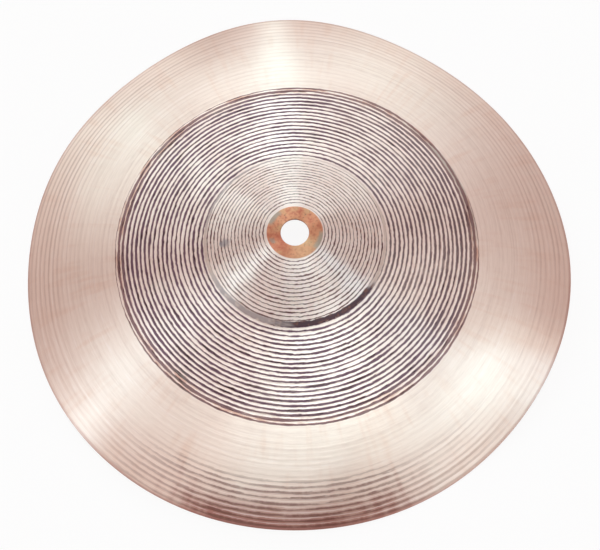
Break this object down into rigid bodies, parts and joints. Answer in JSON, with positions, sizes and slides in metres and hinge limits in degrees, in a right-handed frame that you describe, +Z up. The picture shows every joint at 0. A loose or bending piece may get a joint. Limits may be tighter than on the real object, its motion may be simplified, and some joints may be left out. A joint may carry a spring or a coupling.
{
  "type": "splash cymbal",
  "caption": "Small round bronze splash cymbal with a low bell, a centre hole, a coarsely grooved inner bow and a plain outer bow falling to a gently waved rim.",
  "frame": {"origin": "on the axis of the centre hole, level with the lowest point of the rim, so that it stands rim down on z = 0", "axes": "+Z up along the hole's axis, out of the top of the bell; -Y towards the picture's camera, +X to its right"},
  "size_m": [0.254, 0.2537, 0.0366],
  "materials": {
    "bronze": "lathed, with a raw ring round the hole"
  },
  "bodies": {
    "root": {"cymbal_plate": "bronze"}
  },
  "joints": []
}
